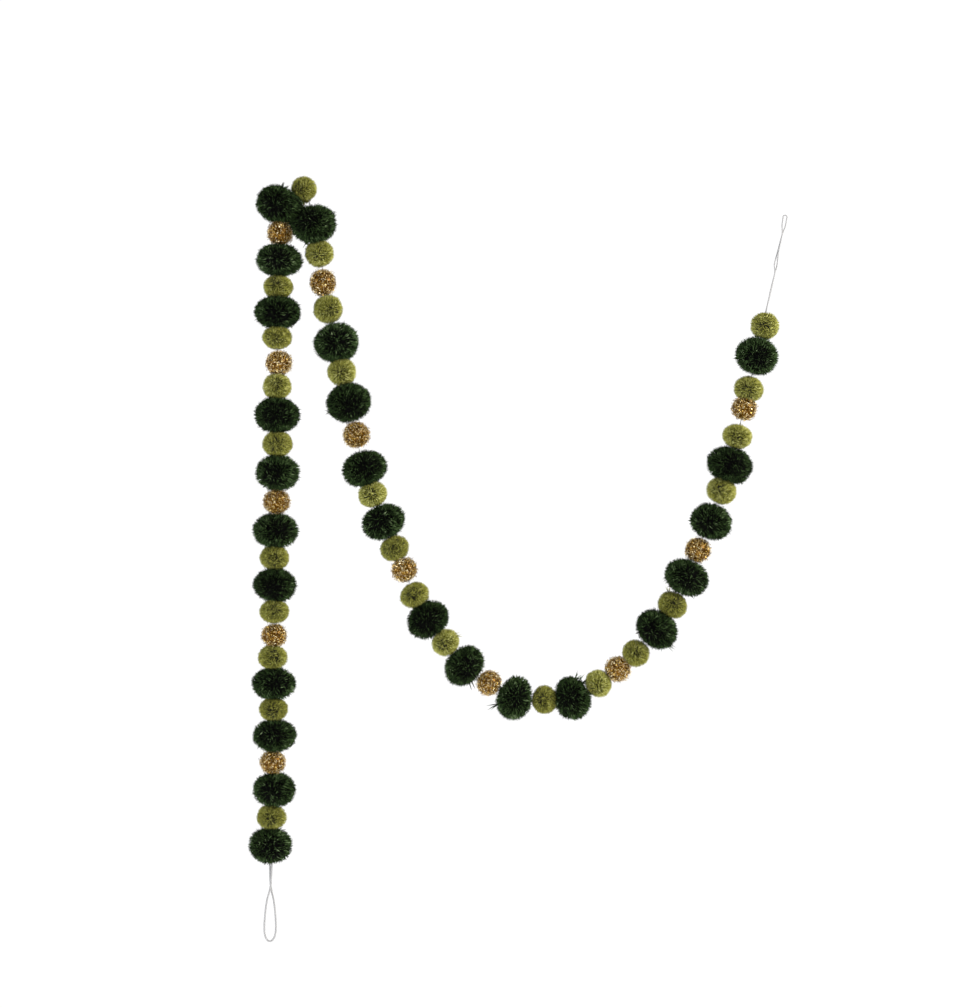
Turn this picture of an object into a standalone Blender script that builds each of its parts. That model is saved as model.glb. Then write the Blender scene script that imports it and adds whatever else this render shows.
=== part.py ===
"""Pom-pom garland: 62 yarn and tinsel pompoms threaded on one string, turned over a peg, with a
loop of bare string at each end. Metres, +Z up, seen from the front along +Y. The origin is the
peg that carries the fold, which lies out of sight between the pompoms there."""

import math
import random

import bmesh
import bpy
from mathutils import Vector

MM = 0.001
CLEARANCE = 0.0003  # between pieces that touch on the real garland

STRING_DIAMETER = 0.0013
BORE_RADIUS = STRING_DIAMETER / 2 + 0.0006  # the string's way through a pompom
WIDE_BORE_RADIUS = 0.0023  # at the two ends, where the string and its tail go in side by side

# Each kind of pompom: its name, how wide it is across the string, how far it reaches each way
# along the string, the sides and bands of its solid, how uneven it is, and its stray locks.
KINDS = {
    "dark": dict(
        name="dark_pompom",
        across=0.0430,
        half=0.0162,
        sides=12,
        bands=6,
        uneven=0.050,
        locks=6,
        lock_height=0.0030,
        slot="dark_green_yarn",
    ),
    "light": dict(
        name="light_pompom",
        across=0.0272,
        half=0.0114,
        sides=10,
        bands=5,
        uneven=0.055,
        locks=3,
        lock_height=0.0016,
        slot="moss_green_yarn",
    ),
    "gold": dict(
        name="gold_ball",
        across=0.0250,
        half=0.0118,
        sides=10,
        bands=4,
        uneven=0.030,
        locks=3,
        lock_height=0.0014,
        slot="gold_tinsel",
    ),
}

# The order on the string is this row of ten, again and again from the lower left end.
REPEAT = ("dark", "light", "dark", "gold", "dark", "light", "dark", "light", "gold", "light")
POMPOMS = 62

# The way the garland hangs: some of its pompoms by number, and where their centres are, in mm.
ROUTE = (
    # number, x, y, z
    (1, -28.0, 0.0, -609.5),
    (4, -26.0, 0.0, -531.0),
    (9, -24.5, 0.0, -410.5),
    (14, -22.5, 0.0, -283.5),
    (19, -21.5, 0.0, -151.5),
    (22, -20.8, 0.0, -79.0),
    (24, -19.0, 0.0, -28.5),
    (25, -21.5, -2.0, 0.5),
    (26, 2.5, 3.0, 14.0),
    (27, 13.0, -2.0, -19.0),
    (28, 19.0, 0.0, -49.0),
    (31, 33.5, 0.0, -132.5),
    (35, 61.0, 0.0, -251.5),
    (38, 90.0, 0.0, -328.0),
    (41, 121.5, 0.0, -395.5),
    (43, 156.5, 0.0, -439.5),
    (45, 203.0, 0.0, -469.5),
    (47, 258.5, 0.0, -469.5),
    (49, 302.0, 0.0, -443.0),
    (52, 354.0, 0.0, -380.0),
    (54, 378.0, 0.0, -329.5),
    (57, 408.0, 0.0, -248.5),
    (60, 426.5, 0.0, -175.0),
    (62, 441.8, 0.0, -116.5),
)

# Short lengths of string that show between neighbours that aren't pushed together.
BARE_STRING = (
    # after number, mm
    (9, 1.2),
    (19, 1.6),
    (28, 2.2),
    (29, 1.4),
    (34, 2.0),
    (39, 1.0),
    (43, 1.2),
    (54, 1.6),
    (58, 2.4),
    (60, 2.4),
)

# The pompoms where the garland turns over the peg are squeezed into one bunch.
FOLD = (24, 25, 26, 27)
FOLD_LEANS = (
    # number, x and z of the line that its yarn is bound along
    (24, 0.02, 1.0),
    (25, 0.28, 0.96),
    (26, 0.30, 0.95),
    (27, -0.22, 0.97),
)
FOLD_SQUEEZE = 0.0016  # how far the bunched pompoms are pushed into each other
FOLD_STEPS = 4  # string points from one pompom's centre to the next, round the fold

# The loops of doubled string at the ends, from inside the last pompom to the tip: the middle
# of the two strands, how far each lies from it, and how far the pair has turned, front on at 0.
LEFT_LOOP = (
    # x mm, z mm, spread mm, turn degrees
    (-28.0, -616.5, 1.00, 0),
    (-27.8, -626.5, 0.95, 5),
    (-27.8, -635.0, 0.90, 25),
    (-27.9, -643.0, 0.90, 60),
    (-27.9, -650.0, 0.90, 100),
    (-28.0, -656.5, 1.90, 150),
    (-28.2, -663.0, 3.30, 172),
    (-28.3, -676.5, 4.90, 180),
    (-28.4, -689.0, 5.50, 180),
    (-28.5, -695.5, 4.80, 180),
    (-28.7, -699.8, 2.80, 180),
)
LEFT_TIP = (-28.8, -701.5)
LEFT_ROUND = (0.0120, 0.0026)  # how far each side of the tip the points are close, and how close
RIGHT_LOOP = (
    (442.2, -110.0, 1.00, 90),
    (442.9, -102.0, 0.95, 90),
    (445.6, -90.3, 0.90, 75),
    (449.0, -75.5, 0.90, 70),
    (451.1, -66.5, 0.90, 80),
    (452.0, -58.5, 1.35, 10),
    (453.4, -50.0, 0.95, -50),
    (455.4, -41.0, 0.90, -80),
    (458.2, -29.5, 0.90, -100),
    (459.4, -22.5, 1.60, -165),
    (460.5, -15.5, 1.75, -180),
    (461.0, -12.6, 1.75, -180),
)
RIGHT_TIP = (461.2, -11.7)
RIGHT_ROUND = (0.0048, 0.0012)
LOOP_STEP = 0.0065  # between the string's points down a loop's sides

PROFILE_POWER = 0.9  # 1 would be a true oval, less is fuller at the shoulders
FACE_ANGLE = math.radians(15)  # where an end goes flat against the next pompom
LOBES = ((2, 0.55), (3, 0.45))  # slow swellings round a pompom, by count and share of uneven
LOCK_ROOT = 0.30  # how far a lock's root is drawn in from its cell's edges, as a share of it
LOCK_HEIGHTS = (0.7, 1.3)  # shortest and longest lock, as shares of its kind's lock_height
SHARP = math.radians(50)  # edges sharper than this are shaded as edges
SAME_POINT = 1e-7  # points this close are one, where a tube's caps meet its side
FRONT = Vector((0.0, 1.0, 0.0))

# Finishes: base colour, roughness, metallic.
FINISHES = {
    "dark_green_yarn": ((0.012, 0.040, 0.014), 0.95, 0.0),
    "moss_green_yarn": ((0.240, 0.265, 0.055), 0.95, 0.0),
    "gold_tinsel": ((0.520, 0.300, 0.090), 0.35, 0.9),
    "white_string": ((0.650, 0.640, 0.600), 0.85, 0.0),
}


def clear_scene():
    for old in list(bpy.data.objects):
        bpy.data.objects.remove(old, do_unlink=True)


def finish(slot):
    """The material of a slot, made once."""
    material = bpy.data.materials.get(slot)
    if material:
        return material
    colour, roughness, metallic = FINISHES[slot]
    material = bpy.data.materials.new(slot)
    material.use_nodes = True
    shader = material.node_tree.nodes["Principled BSDF"]
    shader.inputs["Base Color"].default_value = (*colour, 1.0)
    shader.inputs["Roughness"].default_value = roughness
    shader.inputs["Metallic"].default_value = metallic
    material.diffuse_color = (*colour, 1.0)
    return material


def add_object(name, data, slot, helper=False):
    made = bpy.data.objects.new(name, data)
    made.data.materials.append(finish(slot))
    bpy.context.scene.collection.objects.link(made)
    if helper:
        made.hide_render = True
        made.display_type = "WIRE"
    return made


def kind_of(number):
    return KINDS[REPEAT[(number - 1) % len(REPEAT)]]


def along_curve(places, points, wanted):
    """Points of a smooth curve that passes each point at its place, read at the wanted places."""
    last = len(places) - 1
    slopes = []
    for i in range(last + 1):
        before, after = max(i - 1, 0), min(i + 1, last)
        slopes.append((points[after] - points[before]) / (places[after] - places[before]))
    found = []
    for place in wanted:
        i = 0
        while i < last - 1 and place > places[i + 1]:
            i += 1
        span = places[i + 1] - places[i]
        t = (place - places[i]) / span
        found.append(
            points[i] * (2 * t**3 - 3 * t**2 + 1)
            + slopes[i] * span * (t**3 - 2 * t**2 + t)
            + points[i + 1] * (3 * t**2 - 2 * t**3)
            + slopes[i + 1] * span * (t**3 - t**2)
        )
    return found


def nominal_places():
    """Where each pompom's centre would be along a string with all of them just touching."""
    places = [0.0]
    for number in range(1, POMPOMS):
        places.append(places[-1] + kind_of(number)["half"] + kind_of(number + 1)["half"])
    return places


def hang_garland():
    """Centres of the pompoms by number, and the string's points round the fold by number."""
    places = nominal_places()
    anchors = [places[number - 1] for number, *_ in ROUTE]
    points = [Vector((x, y, z)) * MM for _, x, y, z in ROUTE]
    centres = dict(enumerate(along_curve(anchors, points, places), 1))
    fold = {}
    for number in FOLD:
        start, end = places[number - 1], places[number]
        wanted = [start + (end - start) * step / FOLD_STEPS for step in range(1, FOLD_STEPS)]
        fold[number] = along_curve(anchors, points, wanted)
    return centres, fold


def loop_strands(rows, tip):
    """The two strands of an end loop, each from the pompom to the tip."""
    middles = [Vector((x, 0.0, z)) * MM for x, z, _, _ in rows]
    tip = Vector((tip[0], 0.0, tip[1])) * MM
    strands = ([], [])
    for i, (_, _, spread, turn) in enumerate(rows):
        after = middles[i + 1] if i + 1 < len(middles) else tip
        side = FRONT.cross(after - middles[max(i - 1, 0)]).normalized()
        turn = math.radians(turn)
        offset = (side * math.cos(turn) + FRONT * math.sin(turn)) * spread * MM
        strands[0].append(middles[i] + offset)
        strands[1].append(middles[i] - offset)
    return strands, tip


def even_steps(start, end, step):
    """Places from start up to but not at end, about a step apart."""
    count = round((end - start) / step)
    return [start + (end - start) * i / count for i in range(count)]


def loop_points(rows, tip, tip_round):
    """The string's points out along one strand, round the tip and back along the other."""
    reach, tip_step = tip_round
    (out, back), tip = loop_strands(rows, tip)
    points = [*out, tip, *reversed(back)]
    places = [0.0]
    for before, after in zip(points, points[1:]):
        places.append(places[-1] + (after - before).length)
    turn_in, turn_out = places[len(out)] - reach, places[len(out)] + reach
    wanted = even_steps(0.0, turn_in, LOOP_STEP)
    wanted += even_steps(turn_in, turn_out, tip_step)
    wanted += even_steps(turn_out, places[-1], LOOP_STEP) + [places[-1]]
    return along_curve(places, points, wanted)


def string_points(centres, fold):
    """The whole string: tail, right loop, through every pompom, left loop, tail."""
    points = list(reversed(loop_points(RIGHT_LOOP, RIGHT_TIP, RIGHT_ROUND)))
    for number in range(POMPOMS, 0, -1):
        if number in fold:
            points += reversed(fold[number])
        points.append(centres[number])
    return points + loop_points(LEFT_LOOP, LEFT_TIP, LEFT_ROUND)


def string_curve(name, points, radius):
    """A round cord through the points, 8 sides round, with closed ends."""
    curve = bpy.data.curves.new(name, "CURVE")
    curve.dimensions = "3D"
    curve.bevel_depth = radius
    curve.bevel_resolution = 2
    curve.use_fill_caps = True
    spline = curve.splines.new("POLY")
    spline.points.add(len(points) - 1)
    for point, place in zip(spline.points, points):
        point.co = (*place, 1.0)
    spline.use_smooth = True
    return curve


def meeting_points(centres):
    """For each pair of neighbours, the two points on the string where their ends are."""
    bare = dict(BARE_STRING)
    meetings = {}
    for number in range(1, POMPOMS):
        before, after = kind_of(number)["half"], kind_of(number + 1)["half"]
        start, end = centres[number], centres[number + 1]
        along = (end - start).normalized()
        middle = start + (end - start) * before / (before + after)
        gap = along * (CLEARANCE + bare.get(number, 0.0) * MM) / 2
        meetings[number] = (middle - gap, middle + gap, along)
    return meetings


def pompom_mesh(name, kind, ends, centre, normals, bore, seed):
    """One pompom as a closed ring round the string, or a closed ball where bore is 0.

    Its rows of points run from one end's face over the outside to the other end's face, and
    back through the bore. They lean from one end's plane to the other's as the string bends."""
    chance = random.Random(seed)
    sides, bands = kind["sides"], kind["bands"]
    radius, uneven = kind["across"] / 2, kind["uneven"]
    waves = [(count, share * uneven, chance.uniform(0, math.tau)) for count, share in LOBES]
    mesh = bmesh.new()

    def plane(t):
        """The string's point at t, from -1 to 1 end to end, and two directions across it."""
        normal = (normals[0] * (1 - t) + normals[1] * (1 + t)).normalized()
        point = centre.lerp(ends[0] if t < 0 else ends[1], abs(t))
        across = FRONT.cross(normal).normalized()
        return point, across, normal.cross(across)

    def ring(t, size, count, rough):
        point, across, away = plane(t)
        made = []
        for step in range(count):
            angle = math.tau * step / count
            swell = 1 + sum(s * math.cos(n * angle + phase) for n, s, phase in waves) * rough
            reach = size * swell * (1 + rough * chance.uniform(-uneven, uneven))
            place = point + (across * math.cos(angle) + away * math.sin(angle)) * reach
            made.append(mesh.verts.new(place))
        return made

    def skin(first, second):
        """Faces between two rings, where the second may have half as many points."""
        faces, count = [], len(first)
        if len(second) == count:
            for i in range(count):
                j = (i + 1) % count
                faces.append(mesh.faces.new((first[i], first[j], second[j], second[i])))
            return faces
        half = len(second)
        for i in range(half):
            j = (i + 1) % half
            a, b, c = first[2 * i], first[2 * i + 1], first[(2 * i + 2) % count]
            faces.append(mesh.faces.new((a, b, second[i])))
            faces.append(mesh.faces.new((b, c, second[j])))
            faces.append(mesh.faces.new((b, second[j], second[i])))
        return faces

    rings = []
    for band in range(bands + 1):
        angle = FACE_ANGLE + (math.pi - 2 * FACE_ANGLE) * band / bands
        t = -math.copysign(abs(math.cos(angle)) ** PROFILE_POWER, math.cos(angle))
        t /= math.cos(FACE_ANGLE) ** PROFILE_POWER
        if 0 < band < bands:
            t += chance.uniform(-uneven, uneven)
        rings.append(ring(t, radius * math.sin(angle) ** PROFILE_POWER, sides, 1.0))
    cells = [skin(before, after) for before, after in zip(rings, rings[1:])]
    if bore:
        hole = [ring(t, bore, sides // 2, 0.0) for t in (-1.0, 0.0, 1.0)]
        skin(rings[-1], hole[2])
        skin(hole[2], hole[1])
        skin(hole[1], hole[0])
        skin(rings[0], hole[0])
    else:
        mesh.faces.new(rings[0])
        mesh.faces.new(rings[-1])
    raise_locks(mesh, kind, cells[1:-1], centre, chance)
    bmesh.ops.recalc_face_normals(mesh, faces=mesh.faces)
    data = bpy.data.meshes.new(name)
    mesh.to_mesh(data)
    mesh.free()
    data.shade_smooth()
    data.set_sharp_from_angle(angle=SHARP)
    return data


def raise_locks(mesh, kind, rows, centre, chance):
    """Stray locks of yarn: four-sided tufts that rise from cells of the ball's own skin."""
    cells = chance.sample([cell for row in rows for cell in row], kind["locks"])
    for cell in cells:
        shortest = min(edge.calc_length() for edge in cell.edges)
        bmesh.ops.inset_individual(mesh, faces=[cell], thickness=shortest * LOCK_ROOT)
        outward = (cell.calc_center_median() - centre).normalized()
        tip = bmesh.ops.poke(mesh, faces=[cell])["verts"][0]
        tip.co += outward * kind["lock_height"] * chance.uniform(*LOCK_HEIGHTS)


def make_pompom(number, centres, meetings):
    """A pompom on the straight and gently bent stretches, with its bore round the string."""
    kind = kind_of(number)
    bore = WIDE_BORE_RADIUS if number in (1, POMPOMS) else BORE_RADIUS
    if number > 1:
        _, first_end, first_normal = meetings[number - 1]
    if number < POMPOMS:
        last_end, _, last_normal = meetings[number]
    if number == 1:
        loop_start = Vector((LEFT_LOOP[1][0], 0.0, LEFT_LOOP[1][1])) * MM
        first_normal = (centres[1] - loop_start).normalized()
        first_end = centres[1] - first_normal * kind["half"]
    if number == POMPOMS:
        loop_start = Vector((RIGHT_LOOP[1][0], 0.0, RIGHT_LOOP[1][1])) * MM
        last_normal = (loop_start - centres[POMPOMS]).normalized()
        last_end = centres[POMPOMS] + last_normal * kind["half"]
    name = f"{kind['name']}_{number:02d}"
    mesh = pompom_mesh(
        name,
        kind,
        (first_end, last_end),
        centres[number],
        (first_normal, last_normal),
        bore,
        seed=number,
    )
    return add_object(name, mesh, kind["slot"])


def make_bunch(centres, meetings, fold):
    """The four pompoms over the peg, joined as they are squeezed, with a way for the string."""
    leans = {number: Vector((x, 0.0, z)).normalized() for number, x, z in FOLD_LEANS}
    parts = []
    for number in FOLD:
        kind = kind_of(number)
        lean, reach = leans[number], kind["half"] + FOLD_SQUEEZE
        ends = [centres[number] - lean * reach, centres[number] + lean * reach]
        normals = [lean, lean]
        if number == FOLD[0]:
            _, ends[0], normals[0] = meetings[number - 1]
        if number == FOLD[-1]:
            ends[0], normals[0] = meetings[number][0], -meetings[number][2]
        name = f"bunched_{number}"
        parts.append(pompom_mesh(name, kind, ends, centres[number], normals, 0, number))
    bunch = add_object("bunch_at_peg", parts[1], "dark_green_yarn")
    for index in (0, 2, 3):
        part = add_object(f"bunch_part_{index}", parts[index], "dark_green_yarn", helper=True)
        join = bunch.modifiers.new(f"join_{index}", "BOOLEAN")
        join.operation = "UNION"
        join.object = part
    way = [meetings[FOLD[0] - 1][0]]
    for number in FOLD:
        way += [centres[number], *fold[number]]
    way = way[: -(FOLD_STEPS - 1)] + [meetings[FOLD[-1]][1]]
    channel = bunch.modifiers.new("string_channel", "BOOLEAN")
    channel.operation = "DIFFERENCE"
    channel.object = channel_cutter(way)
    return bunch


def channel_cutter(way):
    """A closed tube of the bore's size along the string's way through the bunch."""
    guide = add_object(
        "channel_guide", string_curve("channel_guide", way, BORE_RADIUS), "white_string", helper=True
    )
    bpy.context.view_layer.update()
    graph = bpy.context.evaluated_depsgraph_get()
    data = bpy.data.meshes.new_from_object(guide.evaluated_get(graph))
    mesh = bmesh.new()
    mesh.from_mesh(data)
    bmesh.ops.remove_doubles(mesh, verts=mesh.verts, dist=SAME_POINT)
    bmesh.ops.recalc_face_normals(mesh, faces=mesh.faces)
    mesh.to_mesh(data)
    mesh.free()
    bpy.data.objects.remove(guide, do_unlink=True)
    return add_object("channel_cutter", data, "white_string", helper=True)


def main():
    clear_scene()
    centres, fold = hang_garland()
    meetings = meeting_points(centres)
    for number in range(1, POMPOMS + 1):
        if number not in FOLD:
            make_pompom(number, centres, meetings)
    make_bunch(centres, meetings, fold)
    string = string_curve("string", string_points(centres, fold), STRING_DIAMETER / 2)
    add_object("string", string, "white_string")


main()
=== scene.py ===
# %% [markdown]
# # A pom-pom garland
#
# This garland is 62 small balls threaded on one white string: dark bottle-green yarn pompoms,
# finer moss-green ones, and gold tinsel balls. It turns over at the top left, falls straight
# down on the left, and swags across to a loop at the top right. The CAD model gives each
# ball's place and size, and this script gives them their yarn.

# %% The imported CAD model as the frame
import math
import random

import bmesh
import bpy
from mathutils import Matrix, Vector, noise
from mathutils.bvhtree import BVHTree


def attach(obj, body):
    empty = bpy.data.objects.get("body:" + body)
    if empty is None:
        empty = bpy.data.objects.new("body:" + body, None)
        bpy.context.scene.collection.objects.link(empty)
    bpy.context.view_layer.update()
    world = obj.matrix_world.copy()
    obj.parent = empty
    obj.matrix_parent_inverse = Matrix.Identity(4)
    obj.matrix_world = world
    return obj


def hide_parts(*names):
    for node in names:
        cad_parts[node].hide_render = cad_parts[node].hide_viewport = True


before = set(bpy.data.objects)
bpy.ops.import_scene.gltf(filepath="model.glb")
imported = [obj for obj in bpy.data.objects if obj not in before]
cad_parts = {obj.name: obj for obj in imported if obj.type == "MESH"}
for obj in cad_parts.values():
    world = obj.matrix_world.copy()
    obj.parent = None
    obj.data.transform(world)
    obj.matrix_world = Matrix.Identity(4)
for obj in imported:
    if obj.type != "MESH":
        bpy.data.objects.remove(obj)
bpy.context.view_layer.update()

print("CAD nodes", len(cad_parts))

# %% [markdown]
# ## The sizes
#
# A yarn pompom is made by winding yarn round a former, tying it in the middle and cutting the
# turns open, so its size is the length of the cut yarn. All sizes are real ones in metres, and
# they are the same as in the CAD source. Named values come first, so that a reader can change
# the yarn without touching the code that uses it.

# %% The kinds of ball, and their order on the string
MM = 0.001
FRONT = Vector((0.0, 1.0, 0.0))
CLEARANCE = 0.3 * MM
STRING_DIAMETER = 1.3 * MM
SLACK_DIAMETER = 1.9 * MM  # with the fibres that stand out where nothing pulls on it
TAUT_DIAMETER = 1.25 * MM

KINDS = {
    # across the string, and how far along the string each way
    "dark": dict(node="dark_pompom", piece="dark_yarn", across=43.0 * MM, half=16.2 * MM),
    "light": dict(node="light_pompom", piece="moss_yarn", across=27.2 * MM, half=11.4 * MM),
    "gold": dict(node="gold_ball", piece="tinsel", across=25.0 * MM, half=11.8 * MM),
}
REPEAT = ("dark", "light", "dark", "gold", "dark", "light", "dark", "light", "gold", "light")
POMPOMS = 62


def kind_name(number):
    return REPEAT[(number - 1) % len(REPEAT)]


def kind_of(number):
    return KINDS[kind_name(number)]


print("balls", {name: sum(kind_name(n) == name for n in range(1, POMPOMS + 1)) for name in KINDS})

# %% [markdown]
# ## The way it hangs
#
# A threaded garland bends only where its string bends, so its shape is one curve with the balls
# at their own distances along it. A few balls are placed by number, and a smooth curve gives
# the others. The curve could also come from a simulation of a hanging chain, but the photo
# shows where each ball came to rest, so the measured places are used.

# %% Places of the balls along the string
ROUTE = (
    # number, x, y, z of the ball's centre in mm
    (1, -28, 0, -609.5), (4, -26, 0, -531), (9, -24.5, 0, -410.5), (14, -22.5, 0, -283.5),
    (19, -21.5, 0, -151.5), (22, -20.8, 0, -79), (24, -19, 0, -28.5), (25, -21.5, -2, 0.5),
    (26, 2.5, 3, 14), (27, 13, -2, -19), (28, 19, 0, -49), (31, 33.5, 0, -132.5),
    (35, 61, 0, -251.5), (38, 90, 0, -328), (41, 121.5, 0, -395.5), (43, 156.5, 0, -439.5),
    (45, 203, 0, -469.5), (47, 258.5, 0, -469.5), (49, 302, 0, -443), (52, 354, 0, -380),
    (54, 378, 0, -329.5), (57, 408, 0, -248.5), (60, 426.5, 0, -175), (62, 441.8, 0, -116.5),
)
BARE_STRING = dict(
    # after number: mm of string that shows before the next ball
    [(9, 1.2), (19, 1.6), (28, 2.2), (29, 1.4), (34, 2.0), (39, 1.0), (43, 1.2), (54, 1.6)]
    + [(58, 2.4), (60, 2.4)]
)
FOLD = (24, 25, 26, 27)  # the balls squeezed together where the garland turns over
FOLD_LEANS = {24: (0.02, 1.0), 25: (0.28, 0.96), 26: (0.30, 0.95), 27: (-0.22, 0.97)}
FOLD_SQUEEZE = 1.6 * MM
FOLD_STEPS = 4


def along_curve(places, points, wanted):
    """Points of a smooth curve that passes each point at its place, read at the wanted places."""
    last = len(places) - 1
    slopes = []
    for i in range(last + 1):
        before, after = max(i - 1, 0), min(i + 1, last)
        slopes.append((points[after] - points[before]) / (places[after] - places[before]))
    found = []
    for place in wanted:
        i = 0
        while i < last - 1 and place > places[i + 1]:
            i += 1
        span = places[i + 1] - places[i]
        t = (place - places[i]) / span
        found.append(
            points[i] * (2 * t**3 - 3 * t**2 + 1)
            + slopes[i] * span * (t**3 - 2 * t**2 + t)
            + points[i + 1] * (3 * t**2 - 2 * t**3)
            + slopes[i + 1] * span * (t**3 - t**2)
        )
    return found


def hang_garland():
    """Centres of the balls by number, and the string's points round the fold by number."""
    places = [0.0]
    for number in range(1, POMPOMS):
        places.append(places[-1] + kind_of(number)["half"] + kind_of(number + 1)["half"])
    anchors = [places[number - 1] for number, *_ in ROUTE]
    points = [Vector((x, y, z)) * MM for _, x, y, z in ROUTE]
    centres = dict(enumerate(along_curve(anchors, points, places), 1))
    fold = {}
    for number in FOLD:
        start, end = places[number - 1], places[number]
        wanted = [start + (end - start) * step / FOLD_STEPS for step in range(1, FOLD_STEPS)]
        fold[number] = along_curve(anchors, points, wanted)
    return centres, fold


CENTRES, FOLD_POINTS = hang_garland()
print("first ball", CENTRES[1], "last ball", CENTRES[POMPOMS])

# %% [markdown]
# ## The loops at the ends
#
# At each end the string is doubled back into the last ball, which leaves a loop to hang it by.
# The left loop hangs free, and its two strands lie against each other and then open. The right
# loop is pulled straight. Each is a short table: the middle of the two strands, how far each
# strand lies from it, and how far the pair has turned.

# %% Points of the two loops
LEFT_LOOP = (
    # x mm, z mm, spread mm, turn degrees
    (-28, -616.5, 1.00, 0), (-27.8, -626.5, 0.95, 5), (-27.8, -635, 0.90, 25),
    (-27.9, -643, 0.90, 60), (-27.9, -650, 0.90, 100), (-28, -656.5, 1.90, 150),
    (-28.2, -663, 3.30, 172), (-28.3, -676.5, 4.90, 180), (-28.4, -689, 5.50, 180),
    (-28.5, -695.5, 4.80, 180), (-28.7, -699.8, 2.80, 180),
)
LEFT_TIP = (-28.8, -701.5)
LEFT_ROUND = (12.0 * MM, 2.6 * MM)  # how far each side of the tip the points are close, and how close
RIGHT_LOOP = (
    (442.2, -110, 1.00, 90), (442.9, -102, 0.95, 90), (445.6, -90.3, 0.90, 75),
    (449, -75.5, 0.90, 70), (451.1, -66.5, 0.90, 80), (452, -58.5, 1.35, 10),
    (453.4, -50, 0.95, -50), (455.4, -41, 0.90, -80), (458.2, -29.5, 0.90, -100),
    (459.4, -22.5, 1.60, -165), (460.5, -15.5, 1.75, -180), (461, -12.6, 1.75, -180),
)
RIGHT_TIP = (461.2, -11.7)
RIGHT_ROUND = (4.8 * MM, 1.2 * MM)
LOOP_STEP = 6.5 * MM


def loop_strands(rows, tip):
    """The two strands of an end loop, each from the ball to the tip."""
    middles = [Vector((x, 0.0, z)) * MM for x, z, _, _ in rows]
    tip = Vector((tip[0], 0.0, tip[1])) * MM
    strands = ([], [])
    for i, (_, _, spread, turn) in enumerate(rows):
        after = middles[i + 1] if i + 1 < len(middles) else tip
        side = FRONT.cross(after - middles[max(i - 1, 0)]).normalized()
        turn = math.radians(turn)
        offset = (side * math.cos(turn) + FRONT * math.sin(turn)) * spread * MM
        strands[0].append(middles[i] + offset)
        strands[1].append(middles[i] - offset)
    return strands, tip


def even_steps(start, end, step):
    """Places from start up to but not at end, about a step apart."""
    count = round((end - start) / step)
    return [start + (end - start) * i / count for i in range(count)]


def loop_points(rows, tip, tip_round):
    """The string's points out along one strand, round the tip and back along the other."""
    reach, tip_step = tip_round
    (out, back), tip = loop_strands(rows, tip)
    points = [*out, tip, *reversed(back)]
    places = [0.0]
    for before, after in zip(points, points[1:]):
        places.append(places[-1] + (after - before).length)
    turn_in, turn_out = places[len(out)] - reach, places[len(out)] + reach
    wanted = even_steps(0.0, turn_in, LOOP_STEP)
    wanted += even_steps(turn_in, turn_out, tip_step)
    wanted += even_steps(turn_out, places[-1], LOOP_STEP) + [places[-1]]
    return along_curve(places, points, wanted)


def length_of(points):
    return sum((after - before).length for before, after in zip(points, points[1:]))


left_points = loop_points(LEFT_LOOP, LEFT_TIP, LEFT_ROUND)
right_points = loop_points(RIGHT_LOOP, RIGHT_TIP, RIGHT_ROUND)
through_points = []
for number in range(1, POMPOMS + 1):
    through_points.append(CENTRES[number])
    through_points += FOLD_POINTS.get(number, [])
for name, points in (("left", left_points), ("right", right_points)):
    print(name, "loop", round(length_of(points), 4), "m of string")

# %% [markdown]
# ## Small helpers
#
# Every material and every geometry tree below is made of nodes. One function adds a node with
# its settings and links. Others turn a painter's hex colour into the linear numbers that
# Blender's sockets hold, put an object in the scene, and start a material.


# %% Helpers for colours, nodes, objects and materials
READ = "GeometryNodeInputNamedAttribute"


def colour(code):
    """The linear red, green, blue and alpha of an sRGB hex colour such as 2a4b1c."""
    found = []
    for i in (0, 2, 4):
        share = int(code[i : i + 2], 16) / 255
        found.append(share / 12.92 if share <= 0.04045 else ((share + 0.055) / 1.055) ** 2.4)
    return (*found, 1.0)


def add(tree, kind, links=(), stops=(), **settings):
    """Adds one node. links lists the inputs or gives them by name or number, each a plain value,
    a socket, or a node whose first output it takes. A kind in capitals is the operation of a
    maths node. stops are a colour ramp's rows of place and hex colour."""
    if kind.isupper():
        settings["operation"] = kind.removeprefix("VECTOR ")
        kind = "ShaderNodeVectorMath" if kind.startswith("VECTOR") else "ShaderNodeMath"
    made = tree.nodes.new(kind)
    for name, value in settings.items():
        setattr(made, name, value)
    rows = links.items() if isinstance(links, dict) else enumerate(links)
    for name, value in rows:
        if isinstance(value, bpy.types.Node):
            value = value.outputs[0]
        if isinstance(value, bpy.types.NodeSocket):
            tree.links.new(value, made.inputs[name])
        else:
            made.inputs[name].default_value = value
    for i, (place, code) in enumerate(stops):
        elements = made.color_ramp.elements
        element = elements[i] if i < len(elements) else elements.new(place)
        element.position, element.color = place, colour(code)
    return made


def placed(name, data):
    """A new object in the scene with this mesh, light or camera."""
    made = bpy.data.objects.new(name, data)
    bpy.context.scene.collection.objects.link(made)
    return made


def new_finish(name, constants):
    """A material, its tree and its shader, with these constants on the shader's own sockets."""
    material = bpy.data.materials.new(name)
    material.use_nodes = True
    shader = material.node_tree.nodes["Principled BSDF"]
    for label, value in constants.items():
        shader.inputs[label].default_value = value
    return material, material.node_tree, shader


print("moss green in linear numbers", [round(x, 3) for x in colour("8c9146")])
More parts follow.
